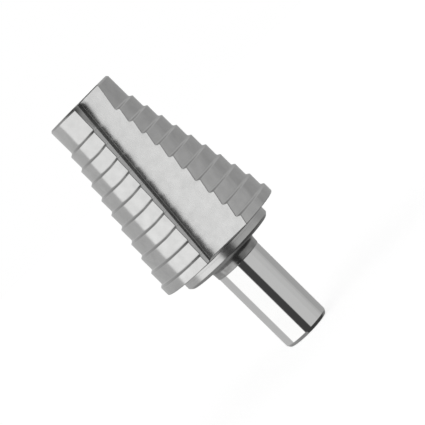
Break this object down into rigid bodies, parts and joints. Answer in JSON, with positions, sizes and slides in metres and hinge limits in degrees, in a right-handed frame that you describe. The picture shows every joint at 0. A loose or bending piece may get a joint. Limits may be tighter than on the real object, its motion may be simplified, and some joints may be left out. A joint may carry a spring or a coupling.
{
  "type": "step drill",
  "caption": "Steel step drill with a flat tip, straight V flutes, a collar and a round shank, for stepped holes in sheet metal.",
  "frame": {"origin": "centre of the shank's end face", "axes": "+Z along the drill's axis, from the shank's end towards the tip; one flute opens towards -Y, with its rake face facing +X"},
  "size_m": [0.033, 0.033, 0.0724],
  "materials": {
    "tool_steel": "bright ground steel, fine turning and grinding marks"
  },
  "bodies": {
    "root": {"step_drill": "tool_steel"}
  },
  "joints": []
}
